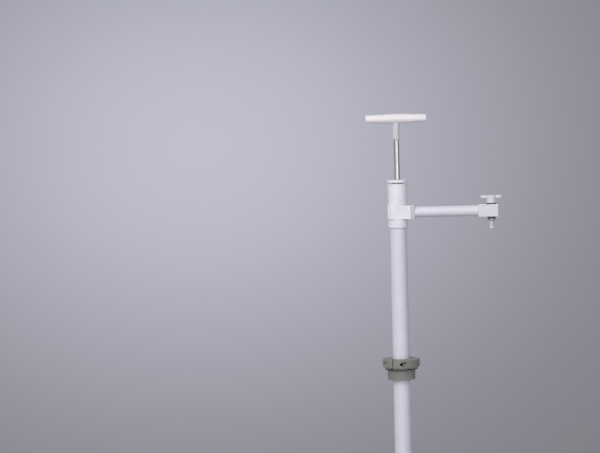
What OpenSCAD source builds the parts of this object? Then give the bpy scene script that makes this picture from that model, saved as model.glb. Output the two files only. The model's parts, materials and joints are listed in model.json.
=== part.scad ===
// Hand-lift piston pump for a closed-head drum: a drum adapter with a split clamp ring,
// a long immersion tube with ball foot valve, a head with a side outlet, an angle stopcock
// and a T-handled piston rod. Millimetres, +Z up along the tube, +X along the outlet arm.
// The origin is on the tube axis in the drum's sealing plane, where the adapter screws in.

/* [Drum adapter] */
// Crest diameter of the 2 inch parallel drum thread
thread_d = 59.6; // [56:0.2:62]
// Length of the threaded spigot below the sealing plane
thread_len = 22; // [16:1:30]
// Outer diameter of the adapter flange
flange_d = 70; // [66:1:74]
// Thickness of the flat gasket under the flange
gasket_t = 2; // [1:0.5:3]
// Thickness of the adapter flange
flange_t = 3; // [2.5:0.5:5]

/* [Clamp ring] */
// Outer diameter of the split clamp ring
ring_d = 78.6; // [76:0.2:84]
// Height of the split clamp ring
ring_h = 17; // [16:0.5:22]
// Bevel on the upper outer edge of the clamp ring
ring_bevel = 1.2; // [1:0.1:3]
// Width of the slit in the clamp ring
slit_w = 2; // [1:0.5:3]
// Direction of the slit, degrees from +X
slit_angle = -113.7; // [-180:0.1:180]
// Distance of the clamp screw's line from the tube axis
screw_chord = 30.8; // [30:0.1:32]
// Nominal diameter of the clamp screw
screw_d = 6; // [5:1:6]

/* [Immersion tube] */
// Outer diameter of the immersion tube
tube_d = 36; // [34:0.5:37]
// Wall thickness of the immersion tube
tube_wall = 3; // [2.5:0.1:3.2]
// Height of the head's underside above the clamp ring
head_gap = 278.9; // [200:0.1:400]
// Depth of the foot below the sealing plane
foot_depth = 895; // [700:5:1000]

/* [Pump head] */
// Diameter of the head
head_d = 42; // [42:0.5:46]
// Height of the collar that holds the immersion tube
collar_h = 18.1; // [17:0.1:26]
// Height of the outlet block
block_h = 28.8; // [27:0.1:34]
// Reach of the outlet block from the tube axis
block_x = 36.5; // [34:0.5:42]
// Chamfer on the upright edges of the outlet block
block_chamfer = 8.4; // [4:0.1:9]
// Height of the gland housing above the block
gland_h = 46; // [44:0.1:60]
// Diameter of the gland cap
cap_d = 43; // [42:0.5:50]
// Thickness of the gland cap's flange
cap_t = 6; // [4:0.1:8]

/* [Outlet arm and stopcock] */
// Outer diameter of the outlet arm
arm_d = 22.6; // [21:0.2:24]
// Bore of the outlet arm
arm_bore = 16; // [12:0.5:17]
// Distance of the stopcock's turning axis from the tube axis
cock_x = 198; // [160:0.5:260]
// Length of the stopcock block along the arm
cock_len = 41.8; // [36:0.1:44]
// Width of the stopcock block across the arm
cock_w = 26.4; // [26:0.2:32]
// Height of the stopcock block
cock_h = 26.2; // [26:0.1:32]
// Length of the wing handle, tip to tip
wing_len = 43.6; // [36:0.2:56]
// Diameter of the wing handle's hub
hub_d = 20.6; // [20:0.2:24]
// Outer diameter of the outlet nozzle
nozzle_d = 8.8; // [8:0.2:10]
// Length of the outlet nozzle's straight end
nozzle_len = 16.2; // [10:0.2:30]

/* [Rod and handle] */
// Diameter of the piston rod
rod_d = 12; // [10:0.5:12]
// Length of bare rod between gland cap and handle as stored
rod_out = 84.4; // [60:0.2:120]
// Full stroke above the stored position
lift = 300; // [200:5:350]
// Length of the T-handle's bar
bar_len = 129; // [100:1:160]
// Diameter of the bar in its middle
bar_mid_d = 21.2; // [19:0.1:24]
// Diameter of the bar at its ends
bar_end_d = 16.2; // [12:0.1:18]
// Height of the bar's axis above the end of the handle's stem
stem_len = 45.4; // [35:0.1:60]
// Direction of the bar, degrees from the outlet arm
bar_angle = 9; // [-90:0.5:90]

/* [Valves] */
// Diameter of the piston's valve ball
piston_ball_d = 14; // [12:0.5:15]
// Diameter of the foot valve's ball
foot_ball_d = 16; // [14:0.5:17]
// Lift of the piston's valve ball
piston_ball_lift = 5; // [3:0.5:5]
// Lift of the foot valve's ball
foot_ball_lift = 6; // [4:0.5:6]

/* [Hidden] */
$fn = 96;

run = 0.06;                 // radial play of a running fit
free = 0.3;                 // play between pieces that only pass each other
pin_r = 1.5;                // radius of the cross pins that stop the valve balls
eps = 0.01;

rod_r = rod_d / 2;
tube_r = tube_d / 2;
tube_ri = tube_r - tube_wall;
head_r = head_d / 2;

// Drum adapter and clamp ring
neck_r = 24;                // outer radius of the slotted neck that grips the tube
ring_z = gasket_t + flange_t + 0.2;
ring_top = ring_z + ring_h;
screw_z = ring_z + ring_h * 0.44;
screw_r = screw_d / 2;
ring_r = ring_d / 2;
half_chord = sqrt(ring_r * ring_r - screw_chord * screw_chord);
head_seat_y = 8.5;          // where the clamp screw's washer sits, along the screw from the slit
nut_seat_y = -8.5;

// Head, from its underside upwards
head_z = ring_top + head_gap;
block_z = head_z + collar_h;
block_top = block_z + block_h;
gland_top = block_top + gland_h;
arm_z = block_z + block_h / 2;
tube_top = block_z - 1.5;
web_z = block_top + 4;      // plate between the liquid chamber and the gland
gland_z = web_z + 4;
gland_r = 10.5;
cap_thread_r = 10.5;
cap_thread_len = 13;
cap_gap = 2.4;
cap_z = gland_top + cap_gap;
cap_top = cap_z + cap_t;
bush_h = 14;
packing_h = 4;

// Stopcock
cock_x0 = cock_x - cock_len * 0.645;
arm_socket = 12;
plug_r = 9.2;
stem_r = 6;
wing_screw_r = 2.1;
cock_z0 = arm_z + 0.4 - cock_h / 2;
cock_z1 = cock_z0 + cock_h;
plug_seat_z = cock_z0 + 3;
plug_seal_z = [plug_seat_z + 1.8, cock_z1 - 3.2];
hub_z = cock_z1 + 2.4;
hub_h = 10.3;
wing_h = 6.1;
hub_top = hub_z + hub_h + wing_h;
wing_blade = 9;
ring_free_z = cock_z0 - free;      // top of the washer under the block
stem_washer_h = 4.5;
retaining_h = 2.2;
nozzle_z = ring_free_z - stem_washer_h - retaining_h;    // lower end of the plug's stem
nozzle_seal_h = 1.6;
nozzle_bore_r = 3.2;
nozzle_spigot_r = 4.4;
nozzle_top = nozzle_z - nozzle_seal_h;

// Rod
handle_z = cap_top + rod_out;
bar_z = handle_z + stem_len;

// Foot valve, from the foot upwards
foot_z = -foot_depth;
foot_skirt = 9;             // height of the strainer's slotted skirt
foot_solid = 25;            // height of the foot below the tube
tube_bottom = foot_z + foot_solid;
foot_seat_z = foot_z + 15;
foot_seat_r = 6;
foot_recess_r = 15;
foot_recess = 4;
strainer_r = 13;
foot_spigot = 22;
foot_chamber_r = 11;
foot_ball_z = foot_seat_z + sqrt(pow(foot_ball_d / 2, 2) - pow(foot_seat_r, 2)) + 0.05;
foot_pin_z = foot_ball_z + foot_ball_d / 2 + foot_ball_lift + free + pin_r;
foot_seal_z = tube_bottom + 3;
foot_seal_h = 2.6;
foot_seal_depth = 1.8;

// Piston, from its underside upwards; at the lowest stroke it stays clear of the foot valve
piston_h = 50;
piston_z = tube_bottom + foot_spigot + rod_out + 5;
piston_r = tube_ri - free;
piston_seat_z = piston_z + 9;
piston_seat_r = 5;
piston_bore_r = 10;
piston_top = piston_z + piston_h;
piston_web = 6;
piston_ball_z = piston_seat_z + sqrt(pow(piston_ball_d / 2, 2) - pow(piston_seat_r, 2)) + 0.05;
piston_pin_z = piston_ball_z + piston_ball_d / 2 + piston_ball_lift + free + pin_r;
rod_end_r = 4;
cup_h = 5;
cup_depth = 2.3;
stop_top = web_z - lift - 0.5;
stop_h = 14;

// A ring about Z between two heights
module ring(r_out, r_in, z0, z1, bevel = 0) {
    rotate_extrude()
        polygon([
            [r_in, z0], [r_out - bevel, z0], [r_out, z0 + bevel],
            [r_out, z1 - bevel], [r_out - bevel, z1], [r_in, z1]
        ]);
}

// A round bore along Z, overshooting both ends
module bore(r, z0, z1) {
    translate([0, 0, z0 - eps])
        cylinder(r = r, h = z1 - z0 + 2 * eps);
}

// A bar lying along +X from x0 to x1 at the height of the outlet arm
module along_x(r, x0, x1) {
    translate([x0, 0, arm_z])
        rotate([0, 90, 0])
            cylinder(r = r, h = x1 - x0);
}

// A seal ring of round section, sunk flush in its groove
module o_ring(r_mid, section_r, z) {
    translate([0, 0, z])
        rotate_extrude()
            translate([r_mid, 0])
                circle(r = section_r, $fn = 32);
}

// A pin across the tube, which keeps a valve ball from leaving its seat
module cross_pin(z) {
    translate([0, 0, z])
        rotate([90, 0, 0])
            cylinder(r = pin_r, h = tube_d, center = true);
}

// A frame whose +X points at the slit and whose +Y runs along the clamp screw
module at_screw() {
    rotate([0, 0, slit_angle])
        translate([screw_chord, 0, screw_z])
            children();
}

// A cylinder along the clamp screw, from y0 to y1
module along_screw(r, y0, y1) {
    translate([0, y0, 0])
        rotate([-90, 0, 0])
            cylinder(r = r, h = y1 - y0);
}

module drum_adapter() {
    spigot_r = thread_d / 2;
    land_r = spigot_r - 1.4;
    color("dimgray")
        difference() {
            rotate_extrude()
                polygon([
                    [tube_r + run, 1 - thread_len], [tube_r + run + 1, -thread_len],
                    [spigot_r - 1.5, -thread_len], [spigot_r, 1.5 - thread_len],
                    [spigot_r, 0], [land_r, 0], [land_r, gasket_t],
                    [flange_d / 2 - 0.5, gasket_t], [flange_d / 2, gasket_t + 0.5],
                    [flange_d / 2, gasket_t + flange_t - 0.5],
                    [flange_d / 2 - 0.5, gasket_t + flange_t], [neck_r, gasket_t + flange_t],
                    [neck_r, ring_top - 3], [neck_r - 1, ring_top - 2],
                    [tube_r + run + 1, ring_top - 2], [tube_r + run, ring_top - 3]
                ]);
            // Slots that let the neck close on the tube
            for (turn = [0:60:120])
                rotate([0, 0, turn])
                    translate([-neck_r - 1, -0.75, ring_z + 2])
                        cube([2 * neck_r + 2, 1.5, ring_h]);
            // Notches for a hook spanner
            for (turn = [0:60:300])
                rotate([0, 0, turn])
                    translate([flange_d / 2 - 2.5, -3, gasket_t - eps])
                        cube([5, 6, flange_t + 2 * eps]);
        }
}

module flange_gasket() {
    color("black")
        ring(flange_d / 2 - 0.5, thread_d / 2 + 0.2, 0, gasket_t);
}

module clamp_ring() {
    color("darkkhaki")
        difference() {
            rotate_extrude()
                polygon([
                    [neck_r + free, ring_z + 0.5], [neck_r + free + 0.5, ring_z],
                    [ring_r - 0.8, ring_z], [ring_r, ring_z + 0.8],
                    [ring_r, ring_top - ring_bevel], [ring_r - ring_bevel, ring_top],
                    [tube_r + 1.5, ring_top], [tube_r + 1.5, ring_top - 1.6],
                    [neck_r + free, ring_top - 1.6]
                ]);
            rotate([0, 0, slit_angle])
                translate([0, -slit_w / 2, ring_z - 1])
                    cube([ring_r + 1, slit_w, ring_h + 2]);
            at_screw() {
                along_screw(screw_r + free, -half_chord, half_chord);
                along_screw(5.5, head_seat_y, half_chord + 6);
                translate([0, nut_seat_y, 0])
                    rotate([90, 0, 0])
                        cylinder(d = 11.7, h = half_chord, $fn = 6);
            }
        }
}

module clamp_washer() {
    color("silver")
        at_screw()
            difference() {
                along_screw(5.4, head_seat_y, head_seat_y + 1.2);
                along_screw(screw_r + free, head_seat_y - 1, head_seat_y + 3);
            }
}

module clamp_nut() {
    color("silver")
        at_screw()
            difference() {
                translate([0, nut_seat_y, 0])
                    rotate([90, 0, 0])
                        cylinder(d = 11.5, h = 5, $fn = 6);
                along_screw(screw_r + run, nut_seat_y - 6, nut_seat_y + 1);
            }
}

module clamp_screw() {
    seat = head_seat_y + 1.3;
    color("gainsboro")
        at_screw()
            difference() {
                union() {
                    along_screw(screw_r, nut_seat_y - 6.5, seat + eps);
                    along_screw(4.9, seat, seat + 6);
                }
                translate([0, seat + 2.5, 0])
                    rotate([-90, 0, 0])
                        cylinder(d = 5.77, h = 5, $fn = 6);
            }
}

module immersion_tube() {
    color("whitesmoke")
        ring(tube_r, tube_ri, tube_bottom, tube_top);
}

module pump_head() {
    side = head_d / 2;
    cut = side - block_chamfer;
    end = block_x - block_chamfer;
    color("whitesmoke")
        difference() {
            union() {
                // Collar and gland housing
                rotate_extrude()
                    polygon([
                        [tube_r - 1, head_z], [head_r - 0.5, head_z], [head_r, head_z + 0.5],
                        [head_r, gland_top - 1], [head_r - 1, gland_top],
                        [tube_r - 8, gland_top]
                    ]);
                // Outlet block, as wide as the head, with chamfered upright edges
                translate([0, 0, block_z])
                    linear_extrude(block_h)
                        polygon([
                            [-side, -cut], [-cut, -side], [end, -side], [block_x, -cut],
                            [block_x, cut], [end, side], [-cut, side], [-side, cut]
                        ]);
            }
            bore(tube_r, head_z - 1, tube_top);
            bore(tube_ri, tube_top, web_z);
            bore(rod_r + 2, web_z, gland_z);
            bore(gland_r, gland_z, gland_top - cap_thread_len);
            bore(cap_thread_r, gland_top - cap_thread_len, gland_top + 1);
            o_ring(tube_r - 0.2, 1.5, head_z + 12);
            along_x(arm_bore / 2, 0, block_x + 1);
            along_x(arm_d / 2, block_x - arm_socket, block_x + 1);
        }
}

module tube_seal() {
    color("black")
        difference() {
            o_ring(tube_r - 0.2, 1.5, head_z + 12);
            bore(tube_r, head_z, head_z + 20);
        }
}

module rod_guide_bush() {
    color("ivory")
        difference() {
            ring(gland_r, rod_r + run, gland_z, gland_z + bush_h, 0.5);
            o_ring(gland_r, 1, gland_z + bush_h / 2);
        }
}

module rod_packing() {
    color("dimgray")
        for (i = [0:1])
            ring(gland_r, rod_r + run, gland_z + bush_h + i * (packing_h + 0.4),
                 gland_z + bush_h + i * (packing_h + 0.4) + packing_h, 0.3);
}

module gland_washer() {
    color("silver")
        ring(gland_r, rod_r + 0.5, gland_z + bush_h + 2 * packing_h + 0.4,
             gland_top - cap_thread_len);
}

module gland_cap() {
    color("whitesmoke")
        difference() {
            union() {
                ring(cap_thread_r, rod_r + 0.5, gland_top - cap_thread_len, cap_z + 1);
                ring(cap_d / 2, rod_r + 0.5, cap_z, cap_top, 0.9);
            }
            bore(rod_r + 3.5, cap_top - 3, cap_top + 1);
        }
}

module rod_wiper() {
    color("dimgray")
        ring(rod_r + 3.5, rod_r + run, cap_top - 3, cap_top - 0.2);
}

module outlet_arm() {
    color("whitesmoke")
        difference() {
            along_x(arm_d / 2, block_x - arm_socket, cock_x0 + arm_socket);
            along_x(arm_bore / 2, block_x - arm_socket - 1, cock_x0 + arm_socket + 1);
        }
}

module stopcock_block() {
    bevel = 0.7;
    w = cock_w / 2;
    color("whitesmoke")
        difference() {
            translate([cock_x0, 0, cock_z0])
                linear_extrude(cock_h)
                    polygon([
                        [0, bevel - w], [bevel, -w], [cock_len - bevel, -w], [cock_len, bevel - w],
                        [cock_len, w - bevel], [cock_len - bevel, w], [bevel, w], [0, w - bevel]
                    ]);
            along_x(arm_d / 2, cock_x0 - 1, cock_x0 + arm_socket);
            along_x(6, cock_x0, cock_x);
            translate([cock_x, 0, 0]) {
                bore(plug_r, plug_seat_z, cock_z1 + 1);
                bore(stem_r + run, cock_z0 - 1, plug_seat_z);
            }
        }
}

module foot_valve_body() {
    color("whitesmoke")
        difference() {
            union() {
                ring(tube_r, foot_seat_r, foot_z + foot_skirt, tube_bottom, 0.6);
                ring(tube_ri, foot_seat_r, tube_bottom - 1, tube_bottom + foot_spigot);
            }
            bore(foot_chamber_r, foot_seat_z, tube_bottom + foot_spigot + 1);
            bore(foot_recess_r, foot_z + foot_skirt, foot_z + foot_skirt + foot_recess);
            ring(tube_ri + 1, tube_ri - foot_seal_depth, foot_seal_z, foot_seal_z + foot_seal_h);
            cross_pin(foot_pin_z);
        }
}

module foot_valve_seal() {
    color("black")
        ring(tube_ri, tube_ri - foot_seal_depth, foot_seal_z, foot_seal_z + foot_seal_h, 0.4);
}

module foot_ball_stop() {
    color("silver")
        intersection() {
            cross_pin(foot_pin_z);
            bore(tube_ri - 0.3, tube_bottom, tube_bottom + foot_spigot);
        }
}

module inlet_strainer() {
    plate_z = foot_z + foot_skirt - 0.5;
    plate_top = foot_z + foot_skirt + foot_recess / 2;
    color("whitesmoke")
        difference() {
            union() {
                ring(tube_r, strainer_r, foot_z, foot_z + foot_skirt, 0.6);
                ring(foot_recess_r, 0, plate_z, plate_top);
            }
            for (turn = [0:60:300])
                rotate([0, 0, turn])
                    translate([8.4, 0, 0])
                        bore(2.2, plate_z, plate_top);
            bore(2.2, plate_z, plate_top);
            // Gaps in the skirt, so that liquid enters when the foot stands on the drum's floor
            for (turn = [0:60:120])
                rotate([0, 0, turn])
                    translate([-tube_r - 1, -3.5, foot_z - 1])
                        cube([tube_d + 2, 7, 6]);
        }
}

module piston_body() {
    color("ivory")
        difference() {
            ring(piston_r, rod_end_r + run, piston_z, piston_top, 0.8);
            bore(piston_bore_r, piston_seat_z, piston_top - piston_web);
            bore(piston_seat_r, piston_z, piston_seat_z);
            for (i = [0:1])
                ring(tube_ri, piston_r - cup_depth, piston_z + 14 + 18 * i,
                     piston_z + 14 + 18 * i + cup_h);
            cross_pin(piston_pin_z);
            for (turn = [0:60:300])
                rotate([0, 0, turn])
                    translate([9, 0, 0])
                        bore(2.4, piston_top - piston_web, piston_top);
        }
}

module piston_cups() {
    color("dimgray")
        for (i = [0:1])
            ring(tube_ri - run, piston_r - cup_depth, piston_z + 14 + 18 * i,
                 piston_z + 14 + 18 * i + cup_h, 0.5);
}

module piston_ball_pin() {
    color("silver")
        intersection() {
            cross_pin(piston_pin_z);
            bore(piston_r - 0.3, piston_z, piston_top);
        }
}

module piston_rod() {
    color("silver")
        rotate_extrude()
            polygon([
                [0, piston_top - piston_web - 8], [rod_end_r, piston_top - piston_web - 8],
                [rod_end_r, piston_top + 0.2], [rod_r, piston_top + 1.2],
                [rod_r, bar_z - 4], [0, bar_z - 4]
            ]);
}

module rod_end_nut() {
    color("silver")
        difference() {
            translate([0, 0, piston_top - piston_web - 6.3])
                cylinder(d = 13, h = 6, $fn = 6);
            bore(rod_end_r, piston_top - piston_web - 7, piston_top - piston_web);
        }
}

module stop_collar() {
    color("ivory")
        difference() {
            ring(rod_r + 5, rod_r, stop_top - stop_h, stop_top, 1);
            translate([0, 0, stop_top - stop_h / 2])
                rotate([0, 90, 0])
                    cylinder(r = 2, h = rod_r + 8);
        }
}

module collar_screw() {
    color("dimgray")
        difference() {
            translate([rod_r, 0, stop_top - stop_h / 2])
                rotate([0, 90, 0])
                    cylinder(r = 2, h = 4.6);
            translate([rod_r + 2.6, 0, stop_top - stop_h / 2])
                rotate([0, 90, 0])
                    cylinder(d = 2.3, h = 3, $fn = 6);
            bore(rod_r, stop_top - stop_h, stop_top);
        }
}

module t_handle() {
    color("white")
        difference() {
            union() {
                translate([0, 0, bar_z])
                    rotate([0, 0, bar_angle])
                        rotate([0, 90, 0])
                            rotate_extrude()
                                polygon([
                                    [0, -bar_len / 2], [bar_end_d / 2 - 0.7, -bar_len / 2],
                                    [bar_end_d / 2, 0.7 - bar_len / 2], [bar_mid_d / 2, 0],
                                    [bar_end_d / 2, bar_len / 2 - 0.7],
                                    [bar_end_d / 2 - 0.7, bar_len / 2], [0, bar_len / 2]
                                ]);
                rotate_extrude()
                    polygon([
                        [0, handle_z], [6.6, handle_z], [7, handle_z + 0.4],
                        [7.6, bar_z], [0, bar_z]
                    ]);
            }
            bore(rod_r, handle_z - 1, bar_z - 4);
        }
}

module stopcock_plug() {
    color("ivory")
        difference() {
            translate([cock_x, 0, 0])
                rotate_extrude()
                    polygon([
                        [0, nozzle_z], [stem_r, nozzle_z], [stem_r, plug_seat_z + 0.2],
                        [plug_r - run, plug_seat_z + 0.2], [plug_r - run, cock_z1 + 0.2],
                        [7, cock_z1 + 0.2], [7, hub_z + 7], [0, hub_z + 7]
                    ]);
            along_x(5, cock_x - plug_r - 1, cock_x);
            translate([cock_x, 0, 0]) {
                bore(nozzle_spigot_r, nozzle_z - 1, plug_seat_z);
                bore(nozzle_bore_r, plug_seat_z - 1, arm_z);
                bore(wing_screw_r, hub_z - 2, hub_z + 8);
                for (z = plug_seal_z)
                    ring(plug_r + 1, plug_r - 1.6, z - 1, z + 1);
            }
        }
}

module plug_seals() {
    color("black")
        translate([cock_x, 0, 0])
            for (z = plug_seal_z)
                ring(plug_r - run, plug_r - 1.6, z - 1, z + 1, 0.4);
}

module plug_washer() {
    color("black")
        translate([cock_x, 0, 0])
            ring(10.8, 7, cock_z1 + 0.2, hub_z, 0.5);
}

module wing_handle() {
    color("whitesmoke")
        translate([cock_x, 0, 0])
            difference() {
                union() {
                    ring(hub_d / 2, 0, hub_z, hub_z + hub_h + 1, 0.4);
                    ring(hub_d / 2 + 0.5, 0, hub_z + hub_h, hub_top, 0.5);
                    translate([0, 0, hub_z + hub_h])
                        linear_extrude(wing_h)
                            difference() {
                                square([wing_len, wing_blade], center = true);
                                for (sx = [-1, 1], sy = [-1, 1])
                                    translate([sx * wing_len / 2, sy * wing_blade / 2])
                                        rotate(45)
                                            square(2, center = true);
                            }
                }
                bore(7, hub_z - 1, hub_z + 7);
                bore(wing_screw_r + free, hub_z + 7, hub_top);
                bore(5, hub_top - 4, hub_top + 1);
            }
}

module wing_screw() {
    color("silver")
        translate([cock_x, 0, 0])
            difference() {
                union() {
                    ring(4.6, 0, hub_top - 4, hub_top - 0.6, 0.5);
                    ring(wing_screw_r, 0, hub_z - 1, hub_top - 3.5);
                }
                translate([0, 0, hub_top - 2.6])
                    cylinder(d = 4.6, h = 3, $fn = 6);
            }
}

module stem_washer() {
    color("black")
        translate([cock_x, 0, 0])
            ring(8.6, stem_r, nozzle_z + retaining_h, ring_free_z, 0.7);
}

module retaining_ring() {
    color("silver")
        translate([cock_x, 0, 0])
            ring(8.4, stem_r, nozzle_z, nozzle_z + retaining_h, 0.4);
}

module outlet_nozzle() {
    outer = nozzle_d / 2;
    end = nozzle_top - nozzle_len;
    color("whitesmoke")
        translate([cock_x, 0, 0])
            rotate_extrude()
                polygon([
                    [nozzle_bore_r, end], [outer - 0.4, end], [outer, end + 0.4],
                    [outer, nozzle_top], [outer - 0.4, nozzle_top], [outer - 0.4, nozzle_z],
                    [nozzle_spigot_r, nozzle_z], [nozzle_spigot_r, plug_seat_z],
                    [nozzle_bore_r, plug_seat_z]
                ]);
}

module nozzle_seal() {
    color("black")
        translate([cock_x, 0, 0])
            ring(5.3, nozzle_d / 2 - 0.4, nozzle_top, nozzle_top + nozzle_seal_h, 0.3);
}

module piston_ball() {
    color("silver")
        translate([0, 0, piston_ball_z])
            sphere(d = piston_ball_d);
}

module foot_ball() {
    color("silver")
        translate([0, 0, foot_ball_z])
            sphere(d = foot_ball_d);
}

drum_adapter();
flange_gasket();
clamp_ring();
clamp_washer();
clamp_nut();
clamp_screw();
immersion_tube();
pump_head();
tube_seal();
rod_guide_bush();
rod_packing();
gland_washer();
gland_cap();
rod_wiper();
outlet_arm();
stopcock_block();
foot_valve_body();
foot_valve_seal();
foot_ball_stop();
inlet_strainer();
piston_body();
piston_cups();
piston_ball_pin();
piston_rod();
t_handle();
stop_collar();
collar_screw();
rod_end_nut();
stopcock_plug();
plug_seals();
plug_washer();
wing_handle();
wing_screw();
stem_washer();
retaining_ring();
outlet_nozzle();
nozzle_seal();
piston_ball();
foot_ball();
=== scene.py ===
"""Looks of a hand-lift drum pump: turned and moulded plastic pieces, steel rod, camera, light and floor.

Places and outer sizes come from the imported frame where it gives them. The rest, mostly bores and steps,
repeat the CAD's figures in millimetres beside the piece that uses them. Lengths are metres, in the frame's
own axes: +Z up along the tube, +X along the outlet arm.
"""
import json
import math

import bmesh
import bpy
from mathutils import Matrix, Vector


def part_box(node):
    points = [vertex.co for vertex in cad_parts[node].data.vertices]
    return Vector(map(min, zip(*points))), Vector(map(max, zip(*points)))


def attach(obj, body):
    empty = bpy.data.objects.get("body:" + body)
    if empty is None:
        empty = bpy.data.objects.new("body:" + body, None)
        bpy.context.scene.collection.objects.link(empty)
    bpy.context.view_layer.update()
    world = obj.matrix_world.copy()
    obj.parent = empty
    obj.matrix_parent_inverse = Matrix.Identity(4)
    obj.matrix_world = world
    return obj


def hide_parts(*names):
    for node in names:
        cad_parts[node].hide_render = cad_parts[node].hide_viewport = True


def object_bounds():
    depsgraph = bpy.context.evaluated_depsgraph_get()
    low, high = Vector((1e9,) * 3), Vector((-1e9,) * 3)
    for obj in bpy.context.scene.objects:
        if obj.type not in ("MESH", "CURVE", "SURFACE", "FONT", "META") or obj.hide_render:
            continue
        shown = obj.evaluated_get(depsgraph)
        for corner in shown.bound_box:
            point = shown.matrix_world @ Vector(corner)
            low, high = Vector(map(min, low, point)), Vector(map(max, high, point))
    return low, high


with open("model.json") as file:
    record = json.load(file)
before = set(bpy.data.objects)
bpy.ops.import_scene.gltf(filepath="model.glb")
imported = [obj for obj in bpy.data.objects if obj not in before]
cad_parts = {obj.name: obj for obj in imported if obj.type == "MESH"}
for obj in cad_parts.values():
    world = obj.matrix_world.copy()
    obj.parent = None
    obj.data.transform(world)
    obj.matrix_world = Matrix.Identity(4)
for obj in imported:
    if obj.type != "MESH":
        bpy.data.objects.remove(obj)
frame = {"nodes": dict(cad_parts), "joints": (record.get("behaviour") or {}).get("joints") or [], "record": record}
cad_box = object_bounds()

MM = 0.001
TURNS = 128            # segments round a visible turned piece
FINE = 64              # segments round a small one
FILLET = 0.35 * MM     # usual rounding of a turned corner
SHARP = math.radians(40)  # edges steeper than this are not smoothed over
NODES = frame["nodes"]
REPLACED = set()          # CAD nodes that a finer piece stands for

# Light: three parts of the even surroundings, then three lamps in watts
AMBIENT = 0.36            # from all round
FRONT = 0.93              # added from in front of the pump
SIDE = 0.10               # added on the left and taken away on the right
KEY, FILL, RIM = 41, 14, 8


def span(node):
    """Lowest and highest corners of a CAD node at rest."""
    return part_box(node)


def radius_of(node):
    """Half of a node's depth, which is its radius where it is round."""
    lo, hi = span(node)
    return (hi.y - lo.y) / 2


# ---------------------------------------------------------------- camera

def make_camera():
    """A long lens from the front, turned a little towards the arm's end and looking slightly down."""
    lo, hi = span("clamp_ring")
    ring_mid = Vector((0, 0, (lo.z + hi.z) / 2))
    turn, down, lean = (math.radians(a) for a in (6.5, 2.5, 1.43))
    distance = 4.7
    width = 1.278          # what the picture is wide, at the pump
    pump_right = 0.2158    # the pump stands right of the picture's middle
    pump_low = 0.2893      # and the ring lies below it
    level = Vector((math.cos(turn), math.sin(turn), 0))
    ahead = Vector((-math.sin(turn) * math.cos(down), math.cos(turn) * math.cos(down), -math.sin(down)))
    right = Matrix.Rotation(lean, 3, ahead) @ level
    up = right.cross(ahead)
    centre = ring_mid - right * pump_right + up * pump_low
    data = bpy.data.cameras.new("camera")
    data.sensor_width = 36
    data.lens = data.sensor_width * distance / width
    data.clip_start, data.clip_end = 0.1, 200
    camera = bpy.data.objects.new("camera", data)
    camera.matrix_world = Matrix.Translation(centre - ahead * distance) @ Matrix(
        (right, up, -ahead)).transposed().to_4x4()
    bpy.context.scene.collection.objects.link(camera)
    bpy.context.scene.camera = camera


# ---------------------------------------------------------------- materials

class Graph:
    """A material's node graph, with short calls for what the surfaces here use."""

    def __init__(self, name):
        self.material = bpy.data.materials.new(name)
        self.material.use_nodes = True
        self.nodes = self.material.node_tree.nodes
        self.links = self.material.node_tree.links
        self.shader = self.nodes["Principled BSDF"]

    def node(self, kind, inputs=None, **settings):
        n = self.nodes.new(kind)
        for key, value in settings.items():
            setattr(n, key, value)
        for key, value in (inputs or {}).items():
            if isinstance(value, bpy.types.NodeSocket):
                self.links.new(value, n.inputs[key])
            else:
                n.inputs[key].default_value = value
        return n

    def place(self, scale=(1, 1, 1)):
        """Object coordinates in millimetres, stretched by scale."""
        at = self.node("ShaderNodeTexCoord").outputs["Object"]
        return self.node("ShaderNodeMapping", {"Vector": at, "Scale": [s / MM for s in scale]}).outputs[0]

    def noise(self, scale, stretch=(1, 1, 1), detail=3.0, rough=0.5):
        """Noise with scale features per millimetre."""
        return self.node("ShaderNodeTexNoise", {
            "Vector": self.place(stretch), "Scale": scale, "Detail": detail, "Roughness": rough,
        }).outputs["Fac"]

    def spread(self, value, low, high, out_low=0.0, out_high=1.0):
        return self.node("ShaderNodeMapRange", {
            "Value": value, "From Min": low, "From Max": high, "To Min": out_low, "To Max": out_high,
        }).outputs[0]

    def mix(self, factor, a, b):
        n = self.node("ShaderNodeMix", {"Factor": factor}, data_type="RGBA")
        for socket, value in ((6, a), (7, b)):
            if isinstance(value, bpy.types.NodeSocket):
                self.links.new(value, n.inputs[socket])
            else:
                n.inputs[socket].default_value = (*value, 1)
        return n.outputs[2]

    def add(self, a, b, gain=1.0):
        return self.node("ShaderNodeMath", {0: b, 1: gain, 2: a}, operation="MULTIPLY_ADD").outputs[0]

    def edge_wear(self):
        """1 on convex edges, 0 elsewhere."""
        point = self.node("ShaderNodeNewGeometry").outputs["Pointiness"]
        return self.spread(point, 0.51, 0.56)

    def finish(self, color, roughness, height=None, bump=0.1, depth=0.1 * MM, **constants):
        self.set("Base Color", color if isinstance(color, bpy.types.NodeSocket) else (*color, 1))
        self.set("Roughness", roughness)
        if height is not None:
            normal = self.node("ShaderNodeBump", {"Strength": bump, "Distance": depth, "Height": height})
            self.set("Normal", normal.outputs[0])
        for key, value in constants.items():
            self.shader.inputs[key.replace("_", " ")].default_value = value
        return self.material

    def set(self, name, value):
        if isinstance(value, bpy.types.NodeSocket):
            self.links.new(value, self.shader.inputs[name])
        else:
            self.shader.inputs[name].default_value = value


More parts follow.
